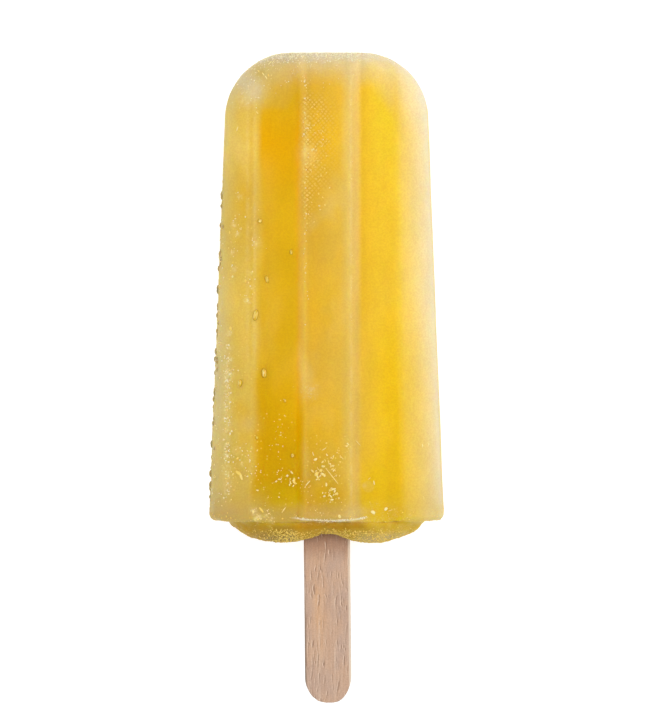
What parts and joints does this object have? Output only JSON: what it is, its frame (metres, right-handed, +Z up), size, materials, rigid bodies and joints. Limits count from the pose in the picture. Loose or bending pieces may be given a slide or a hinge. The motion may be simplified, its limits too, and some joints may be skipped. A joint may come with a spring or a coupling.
{
  "type": "ice lolly",
  "caption": "Bar of frozen yellow fruit juice with a raised rib and shallow channels on each face, moulded round a flat wooden stick and lying on its back.",
  "frame": {"origin": "under the middle of the whole lolly, on the surface it lies on", "axes": "+Y runs from the stick's free end to the bar's tip, +Z is up through the shown face, +X is to the right when seen from above with the tip at the top"},
  "size_m": [0.051, 0.1406, 0.0259],
  "materials": {
    "frozen_juice": "frosted, slightly moist, translucent yellow",
    "birch": "bare, sawn and lightly tumbled"
  },
  "bodies": {
    "root": {"ice": "frozen_juice", "stick": "birch"}
  },
  "joints": []
}
